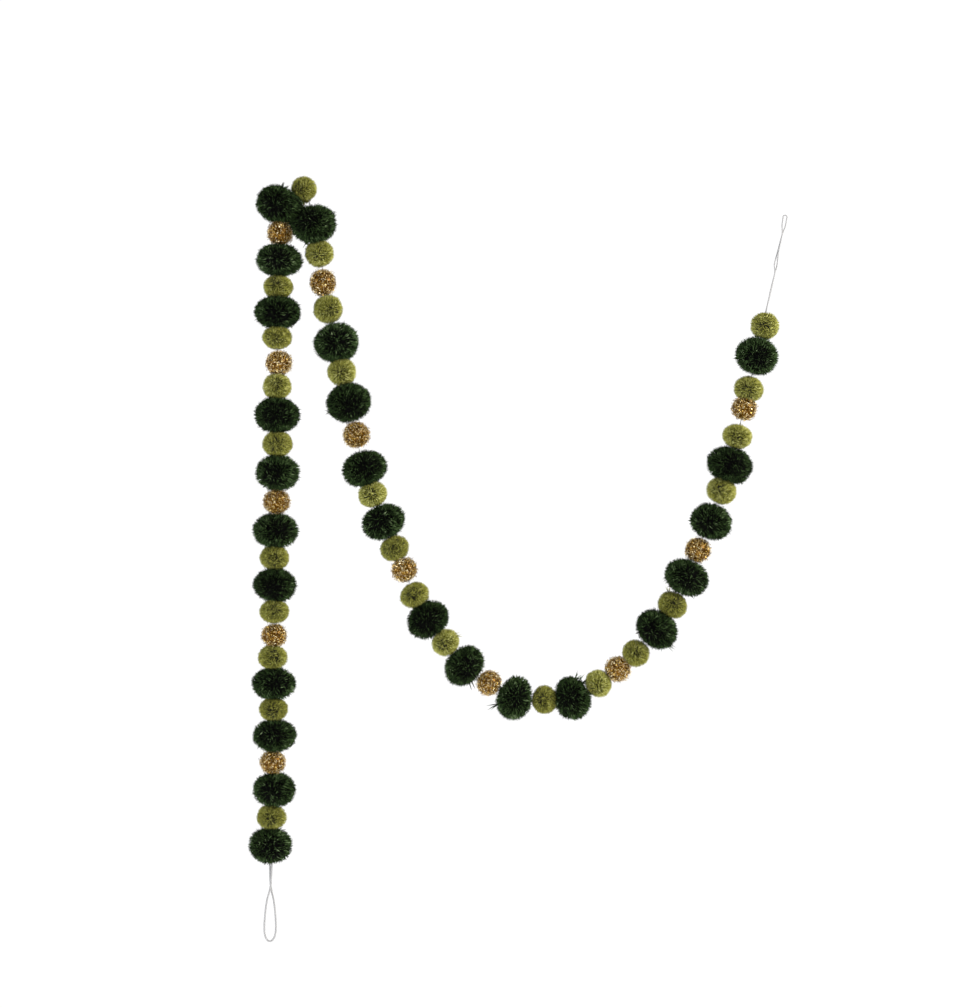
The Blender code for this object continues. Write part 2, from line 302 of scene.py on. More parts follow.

# %% [markdown]
# ## The string's finish
#
# The string is plain twisted cotton, three plies of soft off-white yarn. Its plies make fine
# slanted grooves, and the finish paints a little shade into them. The tube below carries the
# place round it as an attribute that turns with the twist, so the painted shade follows the
# plies. An image could show them too, but a finish made of nodes is sharp at any distance.


# %% Material: twisted white cotton
PLIES = 3
FIBRE = 0.12 * MM  # a cotton fibre is finer, and is drawn this coarse so that it shows up close
SPECK = 6 * FIBRE  # how wide a patch of crossing fibres is
FIBRE_SHARE = 0.35  # how much of the shade comes from the fibres, the rest is from the plies


def white_cotton_string():
    """Matt and soft: no gloss, painted shade a little darker between the plies, and darker where
    fibres cross.
    """
    constants = {"Roughness": 0.9, "Specular IOR Level": 0.25, "Sheen Weight": 0.2}
    material, tree, shader = new_finish("white_cotton_string", constants)
    round_it = add(tree, "ShaderNodeAttribute", attribute_name="round_it").outputs["Fac"]
    turns = add(tree, "MULTIPLY", [round_it, math.tau * PLIES])
    crown = {"Value": add(tree, "COSINE", [turns]), "From Min": -1.0}
    crown = add(tree, "ShaderNodeMapRange", crown)
    place = add(tree, "ShaderNodeTexCoord").outputs["Object"]
    fibres = add(tree, "ShaderNodeTexNoise", {"Vector": place, "Scale": 1 / SPECK, "Detail": 3.0})
    # The plies' part of this mix is painted shade between the plies, and the rest is fibre texture.
    groove = add(tree, "ShaderNodeMix", {0: FIBRE_SHARE, 2: crown, 3: fibres})
    stops = [(0.05, "868687"), (0.4, "8f8f90"), (0.8, "989899")]
    shade = add(tree, "ShaderNodeValToRGB", {"Fac": groove}, stops)
    bump = add(tree, "ShaderNodeBump", {"Height": fibres, "Distance": FIBRE, "Strength": 0.6})
    tree.links.new(shade.outputs[0], shader.inputs["Base Color"])
    tree.links.new(bump.outputs[0], shader.inputs["Normal"])
    return material


STRING_FINISH = white_cotton_string()
print("nodes in the string's finish", len(STRING_FINISH.node_tree.nodes))

# %% [markdown]
# ## Twisting the string
#
# A string of three plies could be three thin tubes wound round each other, but at 1.3 mm they
# read as one cord with three ridges. So one tube is swept along the route with a three-lobed
# section that turns as it goes. Geometry Nodes does this well: the route's points become a
# smooth curve, the curve is given a tilt that grows with its length, and the section follows.


# %% Geometry nodes: a twisted string along a line
def group(name, sockets):
    """A new geometry tree with these inputs (name, kind, default) and its two end nodes."""
    tree = bpy.data.node_groups.new(name, "GeometryNodeTree")
    tree.interface.new_socket("Geometry", in_out="INPUT", socket_type="NodeSocketGeometry")
    for label, kind, default in sockets:
        socket = tree.interface.new_socket(label, in_out="INPUT", socket_type="NodeSocket" + kind)
        if default is not None:
            socket.default_value = default
    tree.interface.new_socket("Geometry", in_out="OUTPUT", socket_type="NodeSocketGeometry")
    return tree, add(tree, "NodeGroupInput").outputs, add(tree, "NodeGroupOutput")


def joined(tree, *parts):
    whole = add(tree, "GeometryNodeJoinGeometry")
    for part in parts:
        tree.links.new(part.outputs[0], whole.inputs[0])
    return whole


def keep(tree, geometry, **values):
    """Stores each value on the points of the geometry, as an attribute with its name."""
    for name, value in values.items():
        given = {"Geometry": geometry, "Name": name, "Value": value}
        kind = "FLOAT_VECTOR" if name == "aim" else "FLOAT"
        geometry = add(tree, "GeometryNodeStoreNamedAttribute", given, data_type=kind)
    return geometry


def angle_round(tree):
    """The angle round the Z axis of each point, from 0 to 1."""
    place = add(tree, "ShaderNodeSeparateXYZ", {0: add(tree, "GeometryNodeInputPosition")})
    angle = add(tree, "ARCTAN2", [place.outputs[1], place.outputs[0]])
    return add(tree, "ADD", [add(tree, "DIVIDE", [angle, math.tau]), 0.5])


STRING_INPUTS = [
    ("Diameter", "Float", STRING_DIAMETER),
    ("Step", "Float", 0.6 * MM),
    ("Twist Length", "Float", 7.5 * MM),
    ("Groove", "Float", 0.07),
    ("Sides", "Int", 12),
    ("Material", "Material", None),
]


def string_section(tree, given):
    """A circle drawn in a little between the plies, by the share that Groove gives."""
    circle = {"Resolution": given["Sides"], "Radius": add(tree, "DIVIDE", [given["Diameter"], 2.0])}
    section = add(tree, "GeometryNodeCurvePrimitiveCircle", circle)
    section = keep(tree, section, round_it=angle_round(tree))
    ridges = add(tree, "COSINE", [add(tree, "MULTIPLY", [angle_round(tree), math.tau * PLIES])])
    depth = add(tree, "MULTIPLY", [add(tree, "SUBTRACT", [1.0, ridges]), 0.5])
    depth = add(tree, "MULTIPLY", [depth, given["Groove"]])
    shape = add(tree, "SUBTRACT", [1.0, depth])
    place = add(tree, "GeometryNodeInputPosition")
    place = add(tree, "VECTOR SCALE", {0: place, "Scale": shape})
    return add(tree, "GeometryNodeSetPosition", {"Geometry": section, "Position": place})


def twisted_string_tree():
    tree, given, result = group("twisted_string", STRING_INPUTS)
    line = add(tree, "GeometryNodeMeshToCurve", {"Mesh": given["Geometry"]})
    line = add(tree, "GeometryNodeCurveSplineType", {"Curve": line}, spline_type="CATMULL_ROM")
    steps = {"Curve": line, "Length": given["Step"]}
    line = add(tree, "GeometryNodeResampleCurve", steps, mode="LENGTH")
    along = add(tree, "GeometryNodeSplineParameter").outputs["Length"]
    tilt = add(tree, "MULTIPLY", [add(tree, "DIVIDE", [along, given["Twist Length"]]), math.tau])
    line = add(tree, "GeometryNodeSetCurveTilt", {"Curve": line, "Tilt": tilt})
    sweep = {"Curve": line, "Profile Curve": string_section(tree, given), "Fill Caps": True}
    tube = add(tree, "GeometryNodeCurveToMesh", sweep)
    tube = add(tree, "GeometryNodeSetShadeSmooth", [tube])
    tube = add(tree, "GeometryNodeRealizeInstances", [tube])
    tube = add(tree, "GeometryNodeSetMaterial", {"Geometry": tube, "Material": given["Material"]})
    tree.links.new(tube.outputs[0], result.inputs[0])
    return tree


STRING_TREE = twisted_string_tree()
print("nodes in the string's tree", len(STRING_TREE.nodes))


# %% From a tree to a plain mesh
def grow(name, base, tree, values):
    """Runs a geometry tree on a base mesh with these input values, and keeps the plain mesh."""
    base_object = placed("base_of_" + name, base)
    modifier = base_object.modifiers.new("grow", "NODES")
    modifier.node_group = tree
    sockets = {
        s.name: s.identifier for s in tree.interface.items_tree if getattr(s, "in_out", "") == "INPUT"
    }
    for label, value in values.items():
        modifier[sockets[label]] = value
    bpy.context.view_layer.update()
    graph = bpy.context.evaluated_depsgraph_get()
    mesh = bpy.data.meshes.new_from_object(base_object.evaluated_get(graph), depsgraph=graph)
    mesh.name = name
    bpy.data.objects.remove(base_object, do_unlink=True)
    bpy.data.meshes.remove(base)
    return placed(name, mesh)


def triangles(piece):
    return sum(len(face.vertices) - 2 for face in piece.data.polygons)


def string_piece(name, points, **sizes):
    line = bpy.data.meshes.new("line_of_" + name)
    line.from_pydata(points, [(i, i + 1) for i in range(len(points) - 1)], [])
    piece = grow(name, line, STRING_TREE, {"Material": STRING_FINISH, **sizes})
    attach(piece, "root")
    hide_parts("string")
    print(name, triangles(piece), "triangles")
    return piece


left_loop = string_piece("left_loop_string", left_points, Diameter=SLACK_DIAMETER)
right_loop = string_piece("right_loop_string", right_points, Diameter=TAUT_DIAMETER)
string_piece("threaded_string", through_points, Step=4.0 * MM, Sides=6, Groove=0.0)

# %% [markdown]
# ## The camera
#
# The photo is taken straight on, so the camera looks level along +Y at the middle of the
# picture. One pixel is 0.95 mm at the garland, and the picture is 1008 pixels high, so an 85 mm
# lens stands a little over two metres away.

# %% Camera
PIXEL = 0.95 * MM
PICTURE = (980, 1008)
ORIGIN_PIXEL = (300, 203)  # where the CAD's origin is in the picture
LENS, SENSOR = 85.0, 36.0

camera_data = bpy.data.cameras.new("camera")
camera_data.lens, camera_data.sensor_width = LENS, SENSOR
camera = placed("camera", camera_data)
middle = Vector((PICTURE[0] / 2 - ORIGIN_PIXEL[0], 0.0, ORIGIN_PIXEL[1] - PICTURE[1] / 2)) * PIXEL
camera.location = middle - FRONT * (PICTURE[1] * PIXEL * LENS / SENSOR)
camera.rotation_euler = (math.pi / 2, 0.0, 0.0)
bpy.context.scene.camera = camera
print("camera at", [round(x, 3) for x in camera.location])

# %% [markdown]
# ## The trimmed shape of a ball
#
# After the yarn is cut open, the maker trims the pompom with scissors to an oval, a little
# uneven from one cut to the next. That trimmed surface is made first, as rows of points round
# the string from one end to the other. It could be a scaled sphere, but the balls lean as the
# string bends, and they are flat where they press on the next one, which rows of points give.

# %% Values for the trimmed surface
PROFILE_POWER = 0.98  # 1 would be a true oval, less is fuller at the shoulders
FACE_ANGLE = math.radians(15)  # where an end goes flat against the next ball
LOBES = ((2, 0.55), (3, 0.45))  # slow swellings round a ball, by count and share of uneven
UNEVEN = {"dark": 0.050, "light": 0.055, "gold": 0.030}
ROUND, BANDS = 24, 12  # points round the string, and bands from end to end
SNIPS = {"dark": 9.0 * MM, "light": 6.0 * MM, "gold": 6.0 * MM}  # size of one scissor cut
# The ends of strands lean and curl a little past the cut, so it stops short of the full size.
FLUFF_ROUND = {"dark": 1.9 * MM, "light": 0.9 * MM, "gold": 0.1 * MM}
FLUFF_AT_ENDS = {"dark": 1.1 * MM, "light": 0.4 * MM, "gold": 0.0}
PRESSED = 0.6 * MM  # how much closer the balls of the hanging end press on each other
SNIP_SHIFT = 7.3  # moves each ball to scissor cuts of its own
print("trimmed surface", ROUND, "by", BANDS)

# %% How single balls differ from their kind
UNLIKE = {
    # number: size as a share of its kind's, and how far it sits off its place in mm, x and z
    1: (0.96, -0.4, 0), 3: (0.96, 2.5, 0), 5: (1, 1.4, 0), 8: (1.03, -1.4, 0), 10: (1.06, 0, 0.8),
    12: (1.05, -0.7, 0), 13: (1.05, 0, -0.6), 14: (1.04, 0.3, -0.3), 15: (0.98, 0.7, 0),
    16: (1.08, 0.9, 0), 17: (1.05, 0, 0), 19: (1.04, 1.4, 0), 20: (1.02, -0.3, 1.8),
    21: (1.05, 0, 0.4), 22: (1.01, 0, -0.8), 23: (1.03, -0.3, -0.3), 24: (1, 0, -0.8),
    25: (1, 0, -1.8), 26: (0.88, 1.2, -0.3), 27: (1, 1, -0.8), 28: (0.97, -0.3, 0.8),
    29: (1.03, -1.8, -0.3), 30: (1.05, -1.3, 1.1), 31: (1, 1.3, -0.4), 32: (0.98, 0, 2.2),
    33: (1.05, -0.2, 3), 34: (1.06, 0.3, 1.9), 35: (1.06, 0.3, -0.6), 36: (1.03, -0.5, 1.2),
    37: (1.02, 0, 0.3), 38: (1.04, -0.5, 0), 39: (1, 0, 1), 40: (1.06, 0.5, -1.3),
    42: (1, 0.8, 1.4), 43: (0.97, -0.4, -0.4), 44: (1, 0.8, 1.2), 45: (1, 0.6, -1.3),
    46: (0.97, 1.8, 0.9), 47: (1, 0.3, -1.3), 48: (1, 0, 1.4), 49: (0.97, 0, 0),
    50: (0.98, 0.3, -2), 51: (0.98, 2, -1.5), 52: (1.03, -0.2, -1.5), 53: (1.05, 0, 0),
    54: (0.97, 0, 0), 55: (0.93, 1.3, -0.5), 56: (1.04, 1.8, 2.2), 57: (1.03, 0.7, -0.3),
    58: (1.07, 0, 0), 59: (0.97, 1, 3), 60: (1.04, 0, -1.4), 62: (0.97, 0, 0),
}
BULGES = {
    # number: rows of direction in degrees, how wide in degrees, and how far out in mm
    25: ((-45, 26, 4.5), (-6, 24, 5.0)),
    26: ((272, 18, 2.5),),
    27: ((185, 30, 3.0), (145, 24, 3.5)),
}
print("unlike their kind", len(UNLIKE), "balls, bulging", len(BULGES))


# %% Where neighbours meet
def meeting_points():
    """For each pair of neighbours, the two points on the string where their ends are."""
    meetings = {}
    for number in range(1, POMPOMS):
        before, after = kind_of(number)["half"], kind_of(number + 1)["half"]
        start, end = CENTRES[number], CENTRES[number + 1]
        along = (end - start).normalized()
        between = start + (end - start) * before / (before + after)
        gap = along * (CLEARANCE + BARE_STRING.get(number, 0.0) * MM) / 2
        meetings[number] = (between - gap, between + gap, along)
    return meetings


MEETINGS = meeting_points()
print("meetings of neighbours", len(MEETINGS))


# %% The trimmed surface of one ball
def cut_ends(number):
    """The two ends of a ball's cut surface, short of the ball's own ends by its fluff."""
    ends, normals = ends_of(number)
    short = FLUFF_AT_ENDS[kind_name(number)] - (PRESSED if number < FOLD[0] else 0.0)
    if number not in (1, *FOLD):
        ends[0] = ends[0] + normals[0] * short
    if number not in FOLD:
        ends[1] = ends[1] - normals[1] * short
    return ends, normals


def ends_of(number):
    """The two end points of a ball on its string, and the direction of the string at each."""
    kind, centre = kind_of(number), CENTRES[number]
    if number in FOLD:
        x, z = FOLD_LEANS[number]
        lean = Vector((x, 0.0, z)).normalized()
        reach = (kind["half"] + FOLD_SQUEEZE) * UNLIKE.get(number, (1.0,))[0]
        reach -= FLUFF_ROUND[kind_name(number)]
        ends, normals = [centre - lean * reach, centre + lean * reach], [lean, lean]
        if number == FOLD[0]:
            _, ends[0], normals[0] = MEETINGS[number - 1]
        if number == FOLD[-1]:
            ends[0], normals[0] = MEETINGS[number][0], -MEETINGS[number][2]
        return ends, normals
    ends, normals = [None, None], [None, None]
    if number > 1:
        _, ends[0], normals[0] = MEETINGS[number - 1]
    else:
        normals[0] = (centre - Vector((LEFT_LOOP[1][0], 0.0, LEFT_LOOP[1][1])) * MM).normalized()
        ends[0] = centre - normals[0] * kind["half"]
    if number < POMPOMS:
        ends[1], _, normals[1] = MEETINGS[number]
    else:
        normals[1] = (Vector((RIGHT_LOOP[1][0], 0.0, RIGHT_LOOP[1][1])) * MM - centre).normalized()
        ends[1] = centre + normals[1] * kind["half"]
    return ends, normals


def pulled_out(table, number, out):
    """How far a table's rows for this ball move what lies in the direction out, in metres."""
    far = 0.0
    for turn, width, reach in table.get(number, ()):
        turn, width = math.radians(turn), math.radians(width)
        aim = Vector((math.cos(turn), 0.0, math.sin(turn)))
        far += reach * MM * math.exp(-((out.angle(aim) / width) ** 2))
    return far


def trimmed_ball(number):
    """The trimmed surface of one ball, closed at both ends."""
    name, centre = kind_name(number), CENTRES[number]
    radius, uneven = KINDS[name]["across"] / 2 - FLUFF_ROUND[name], UNEVEN[name]
    share, x, z = UNLIKE.get(number, (1.0, 0.0, 0.0))
    radius *= share
    moved = Vector((x, 0.0, z)) * MM
    ends, normals = cut_ends(number)
    chance = random.Random(number)
    waves = [(count, part * uneven, chance.uniform(0, math.tau)) for count, part in LOBES]
    mesh = bmesh.new()

    def snip(place):
        """How far one scissor cut went too deep or too shallow, as a share of the radius."""
        return noise.noise(place / SNIPS[name] + Vector((number * SNIP_SHIFT, 0.0, 0.0))) * uneven

    def place_at(t, size, angle):
        normal = (normals[0] * (1 - t) + normals[1] * (1 + t)).normalized()
        point = centre.lerp(ends[0] if t < 0 else ends[1], abs(t))
        across = FRONT.cross(normal).normalized()
        away = normal.cross(across)
        swell = 1 + sum(s * math.cos(n * angle + phase) for n, s, phase in waves)
        place = point + (across * math.cos(angle) + away * math.sin(angle)) * size * swell
        place += (place - centre) * snip(place)
        bulge = (place - centre).normalized() * pulled_out(BULGES, number, place - centre)
        return place + bulge + moved

    rows = []
    for band in range(BANDS + 1):
        angle = FACE_ANGLE + (math.pi - 2 * FACE_ANGLE) * band / BANDS
        t = -math.copysign(abs(math.cos(angle)) ** PROFILE_POWER, math.cos(angle))
        t /= math.cos(FACE_ANGLE) ** PROFILE_POWER
        size = radius * math.sin(angle) ** PROFILE_POWER
        rows.append([mesh.verts.new(place_at(t, size, math.tau * s / ROUND)) for s in range(ROUND)])
    for first, second in zip(rows, rows[1:]):
        for i in range(ROUND):
            j = (i + 1) % ROUND
            mesh.faces.new((first[i], first[j], second[j], second[i]))
    for row in (rows[0], rows[-1]):
        hub = mesh.verts.new(sum((v.co for v in row), Vector()) / ROUND)
        for i in range(ROUND):
            mesh.faces.new((row[i], row[(i + 1) % ROUND], hub))
    bmesh.ops.recalc_face_normals(mesh, faces=mesh.faces)
    stray_points(mesh, number)
    data = bpy.data.meshes.new(f"trimmed_{number:02d}")
    mesh.to_mesh(data)
    mesh.free()
    return data


# %% [markdown]
# ## Stray ends
#
# The scissors miss some yarn. On this garland a few tufts stand out well past the rest, and
# they are placed where they show. Each row of the table is a direction on the face of the
# ball, as on a clock in degrees from three o'clock, how wide the tuft is, how far its ends
# reach out, and how many there are. Each end becomes a loose point beside the trimmed surface,
# with its reach kept as an attribute, and the tree below grows one strand on it.

# %% Table of stray ends
STRAYS = {
    # number: rows of direction in degrees, how wide the tuft is in degrees, reach in mm, ends
    25: ((71, 22, 4.0, 10), (170, 16, 2.0, 6)), 26: ((272, 8, 4.0, 8),),
    27: ((150, 10, 2.5, 5), (20, 14, 2.0, 5), (249, 6, 4.0, 3)), 28: ((140, 10, 4.0, 5),),
    33: ((200, 12, 3.0, 5),), 42: ((38, 18, 4.0, 9),), 43: ((290, 10, 5.0, 4),),
    45: ((203, 1.5, 7.5, 3), (150, 12, 3.0, 5)),
    47: ((78, 26, 5.5, 9), (55, 8, 7.0, 4), (20, 20, 5.5, 7)), 51: ((310, 12, 4.5, 5),),
    52: ((110, 8, 6.0, 5),), 53: ((185, 14, 2.0, 5),),
}
STRAY_SEED = 500
STRAY_SPAN = (0.6, 1.0)  # shortest and longest end of a tuft, as shares of its reach
STRAY_DEPTH = (-0.25, 0.1)  # how far its ends lean to the viewer and away, as shares
print("stray ends", sum(count for rows in STRAYS.values() for *_, count in rows))


def stray_points(mesh, number):
    """Adds a loose point to the trimmed surface for each stray end of this ball."""
    reach_kept = mesh.verts.layers.float.new("stray_reach")
    surface = BVHTree.FromBMesh(mesh)
    centre = CENTRES[number]
    chance = random.Random(STRAY_SEED + number)
    for turn, width, reach, count in STRAYS.get(number, ()):
        for _ in range(count):
            angle = math.radians(turn + chance.uniform(-width, width) / 2)
            aim = Vector((math.cos(angle), chance.uniform(*STRAY_DEPTH), math.sin(angle)))
            place, *_ = surface.ray_cast(centre, aim.normalized())
            mesh.verts.new(place)[reach_kept] = reach * MM * chance.uniform(*STRAY_SPAN)


# %% [markdown]
# ## Yarn pompoms
#
# What shows of a pompom is the cut ends of a few hundred strands of yarn, each fluffed out by
# the scissors into several tips. They spring from the tie in the middle, so they fan out, and
# they part where the tie holds them: that is the dark star on many of the small ones. It is
# partly a real pit and partly painted shade, as strands in the parting take the darker colour
# of their roots. They could be hair, but hair doesn't leave Blender as a mesh. So Geometry
# Nodes scatters points on the trimmed surface and stands one small tapered tip of only six
# triangles on each. Its length, lean, thickness and tint come from seeded random values, and a
# slow noise leans neighbours the same way, which gathers them into tufts.

# %% One cut end of yarn, and one sliver of tinsel
MIDDLE = 0.87  # how far up from its root a tip is at its widest
FILM = 0.15  # how thick a sliver of film is drawn, as a share of its width
SLIVER_FOOT = 0.6  # the radius of the end that a sliver stands on


def yarn_tip(tree, curl):
    """The tip of one cut strand, one unit long and wide: widest in its middle and closed at both
    ends, moved up from the root by MIDDLE and to one side by its curl."""
    strand = add(tree, "GeometryNodeMeshUVSphere", {"Segments": 3, "Rings": 2, "Radius": 0.5})
    moved = add(tree, "ShaderNodeCombineXYZ", {0: curl, 2: MIDDLE})
    strand = add(tree, "GeometryNodeSetPosition", {"Geometry": strand, "Offset": moved})
    level = add(tree, "ShaderNodeSeparateXYZ", [add(tree, "GeometryNodeInputPosition")]).outputs[2]
    strand = keep(tree, strand, height=level, round_it=angle_round(tree))
    return add(tree, "GeometryNodeSetShadeSmooth", [strand])


def foil_sliver(tree):
    """One sliver of cut tinsel film, one unit long and wide, and nearly flat."""
    sizes = {"Vertices": 3, "Radius Top": 0.0, "Radius Bottom": SLIVER_FOOT, "Depth": 1.0}
    sliver = add(tree, "GeometryNodeMeshCone", sizes, fill_type="TRIANGLE_FAN")
    sliver = add(tree, "GeometryNodeTransform", {"Geometry": sliver, "Scale": (1.0, FILM, 1.0)})
    place = add(tree, "ShaderNodeSeparateXYZ", [add(tree, "GeometryNodeInputPosition")])
    return keep(tree, sliver, height=place.outputs[2], round_it=angle_round(tree))


# %% Geometry nodes: where the strands stand
OFFERED = 2.2  # points offered for each square of the spacing, before those too close are dropped


def scattered_points(tree, given):
    """Points evenly apart and one for each stray end, and the ball without its stray points."""
    spacing, skin = given["Spacing"], given["Geometry"]
    density = add(tree, "DIVIDE", [OFFERED, add(tree, "MULTIPLY", [spacing, spacing])])
    sizes = {"Mesh": skin, "Distance Min": spacing, "Density Max": density, "Seed": given["Seed"]}
    even = add(tree, "GeometryNodeDistributePointsOnFaces", sizes, distribute_method="POISSON")
    is_stray = add(tree, "GREATER_THAN", [add(tree, READ, ["stray_reach"]), 0.0])
    strays = add(tree, "GeometryNodeMeshToPoints", {"Mesh": skin, "Selection": is_stray})
    skin = add(tree, "GeometryNodeDeleteGeometry", {"Geometry": skin, "Selection": is_stray})
    return joined(tree, even, strays), skin


def chance_value(tree, low, high, seed, step):
    """A random value for each point. Each use has its own step from the seed."""
    own = add(tree, "ADD", [seed, float(step)])
    return add(tree, "FunctionNodeRandomValue", {2: low, 3: high, "Seed": own}).outputs[1]


# %% Geometry nodes: which way each strand points
TUFT_GAIN = 4.0  # a noise stays close to its middle, so its lean is made this much stronger
NOISE_SPAN = {"From Min": 0.3, "From Max": 0.7}  # where most of a noise's values lie


def tuft_noise(tree, given, place):
    """The lean of each strand's tuft, and how high the slow noise is there."""
    where = add(tree, "VECTOR ADD", [place, add(tree, "ShaderNodeCombineXYZ", [given["Seed"]])])
    scale = add(tree, "DIVIDE", [1.0, given["Tuft Size"]])
    slow = add(tree, "ShaderNodeTexNoise", {"Vector": where, "Scale": scale, "Detail": 1.0})
    level = add(tree, "ShaderNodeMapRange", {"Value": slow, **NOISE_SPAN})
    lean = add(tree, "VECTOR SUBTRACT", [slow.outputs["Color"], (0.5, 0.5, 0.5)])
    gain = add(tree, "MULTIPLY", [given["Tuft Lean"], TUFT_GAIN])
    return add(tree, "VECTOR SCALE", {0: lean, "Scale": gain}), level


def strand_aim(tree, given, place, tufts):
    """Out from the middle, leant by its tuft and by chance, and splayed from the tie. Also how
    far into the parting round the tie the strand stands."""
    tie = given["Tie"]
    out = add(tree, "VECTOR NORMALIZE", [add(tree, "VECTOR SUBTRACT", [place, given["Centre"]])])
    own = add(tree, "ADD", [given["Seed"], 1.0])
    span = {0: (-1.0, -1.0, -1.0), 1: (1.0, 1.0, 1.0), "Seed": own}
    jitter = add(tree, "FunctionNodeRandomValue", span, data_type="FLOAT_VECTOR")
    jitter = add(tree, "VECTOR SCALE", {0: jitter, "Scale": given["Lean"]})
    near_tie = add(tree, "VECTOR DOT_PRODUCT", [out, tie]).outputs["Value"]
    span = {"Value": add(tree, "ABSOLUTE", [near_tie]), "From Min": given["Parting Width"]}
    sunk = add(tree, "ShaderNodeMapRange", span, interpolation_type="SMOOTHSTEP")
    aside = add(tree, "VECTOR SCALE", {0: tie, "Scale": near_tie})
    aside = add(tree, "VECTOR NORMALIZE", [add(tree, "VECTOR SUBTRACT", [out, aside])])
    splay = add(tree, "MULTIPLY", [sunk, given["Parting"]])
    aside = add(tree, "VECTOR SCALE", {0: aside, "Scale": splay})
    fan = add(tree, "MULTIPLY", [near_tie, given["Fan"]])
    fan = add(tree, "VECTOR SCALE", {0: tie, "Scale": fan})
    aim = add(tree, "VECTOR SUBTRACT", [out, fan])
    aim = add(tree, "VECTOR ADD", [aim, add(tree, "VECTOR ADD", [tufts, jitter])])
    return add(tree, "VECTOR NORMALIZE", [add(tree, "VECTOR ADD", [aim, aside])]), sunk


# %% Geometry nodes: how long each strand is
CUT_SPAN = (-1.0, 0.2)  # how far the cut is short or long, as shares of Ragged
LOOSE_SPAN = (0.3, 1.0)  # how far a loose end stands out, as shares of Loose Reach


def strand_length(tree, given, sunk):
    """The length after a ragged cut, with a few loose ends, the strays, and a pit at the tie.
    Also how deep in the pit the strand's end is, which later paints it in darker shade."""
    seed = given["Seed"]
    ragged = add(tree, "MULTIPLY", [chance_value(tree, *CUT_SPAN, seed, 2), given["Ragged"]])
    loose = add(tree, "LESS_THAN", [chance_value(tree, 0.0, 1.0, seed, 3), given["Loose Share"]])
    loose = add(tree, "MULTIPLY", [loose, given["Loose Reach"]])
    loose = add(tree, "MULTIPLY", [loose, chance_value(tree, *LOOSE_SPAN, seed, 4)])
    reach = add(tree, "ADD", [add(tree, "ADD", [ragged, loose]), add(tree, READ, ["stray_reach"])])
    length = add(tree, "ADD", [given["Length"], reach])
    deep = add(tree, "MULTIPLY", [sunk, chance_value(tree, 0.0, given["Pit"], seed, 5)])
    return add(tree, "MULTIPLY", [length, add(tree, "SUBTRACT", [1.0, deep])]), deep


# %% Geometry nodes: the dense middle, and the map for the finish
# The core's dark tints and low heights paint it in the shade among the roots.
CORE_TINTS, CORE_HEIGHTS = (0.1, 0.35), (0.0, 0.1)  # dark, and low down among the roots
TINT_SPAN, ROUND_SPAN, HEIGHT_SPAN, MAP_EDGE = 0.92, 0.04, 0.96, 0.02  # shares of the flat map


def dense_core(tree, given, skin, place):
    """The dense yarn inside, which closes the ball behind the strands, painted in the dark shade of
    the roots.
    """
    seed, centre = given["Seed"], given["Centre"]
    inner = add(tree, "VECTOR SUBTRACT", [place, centre])
    inner = add(tree, "VECTOR SCALE", {0: inner, "Scale": given["Core"]})
    inner = add(tree, "VECTOR ADD", [centre, inner])
    core = add(tree, "GeometryNodeSetPosition", {"Geometry": skin, "Position": inner})
    tint = chance_value(tree, *CORE_TINTS, seed, 9)
    height = chance_value(tree, *CORE_HEIGHTS, seed, 10)
    core = keep(tree, core, tint=tint, height=height, round_it=0.0)
    return add(tree, "GeometryNodeSetShadeSmooth", [core])


def mapped(tree, whole):
    """Adds a flat map of tint across and height up, which is all that the finish depends on."""
    tint, round_it, height = (add(tree, READ, [n]) for n in ("tint", "round_it", "height"))
    across = add(tree, "ADD", [add(tree, "MULTIPLY", [tint, TINT_SPAN]), MAP_EDGE])
    across = add(tree, "ADD", [across, add(tree, "MULTIPLY", [round_it, ROUND_SPAN])])
    up = add(tree, "ADD", [add(tree, "MULTIPLY", [height, HEIGHT_SPAN]), MAP_EDGE])
    flat = add(tree, "ShaderNodeCombineXYZ", [across, up])
    kept = {"Geometry": whole, "Name": "OFBake", "Value": flat}
    settings = dict(data_type="FLOAT2", domain="CORNER")
    return add(tree, "GeometryNodeStoreNamedAttribute", kept, **settings)


# %% Geometry nodes: the whole ball
WIDTHS = (0.7, 1.3)  # thinnest and thickest strand, as shares of Width
BALL_SIZES = (
    "Spacing", "Length", "Width", "Ragged", "Loose Share", "Loose Reach", "Lean", "Tuft Lean",
    "Tuft Size", "Tuft Tint", "Tone", "Curl", "Core", "Parting", "Pit", "Parting Width", "Fan",
)
BALL_INPUTS = [(label, "Float", None) for label in BALL_SIZES]
BALL_INPUTS += [("Centre", "Vector", None), ("Tie", "Vector", None)]
BALL_INPUTS += [("Seed", "Int", None), ("Material", "Material", None)]


def strands_on(tree, given, points, tip):
    """Stands the tip on each point, turned and sized by the values that the point carries."""
    seed = given["Seed"]
    aim = add(tree, READ, ["aim"], data_type="FLOAT_VECTOR")
    turn = add(tree, "FunctionNodeAlignRotationToVector", {"Vector": aim}, axis="Z")
    spin = add(tree, "ShaderNodeCombineXYZ", {2: chance_value(tree, 0.0, math.tau, seed, 6)})
    turns = {"Rotation": turn, "Rotate By": spin}
    turn = add(tree, "FunctionNodeRotateRotation", turns, rotation_space="LOCAL")
    wide = add(tree, "MULTIPLY", [given["Width"], chance_value(tree, *WIDTHS, seed, 7)])
    size = add(tree, "ShaderNodeCombineXYZ", [wide, wide, add(tree, READ, ["long"])])
    strands = {"Points": points, "Instance": tip, "Rotation": turn, "Scale": size}
    strands = add(tree, "GeometryNodeInstanceOnPoints", strands)
    strands = add(tree, "GeometryNodeRealizeInstances", [strands])
    # Strands deep in the pit take a lower height, so the root ramp paints them in shade.
    pit_shade_factor = add(tree, "SUBTRACT", [1.0, add(tree, READ, ["sunk"])])
    height = add(tree, "MULTIPLY", [add(tree, READ, ["height"]), pit_shade_factor])
    return keep(tree, strands, height=height)


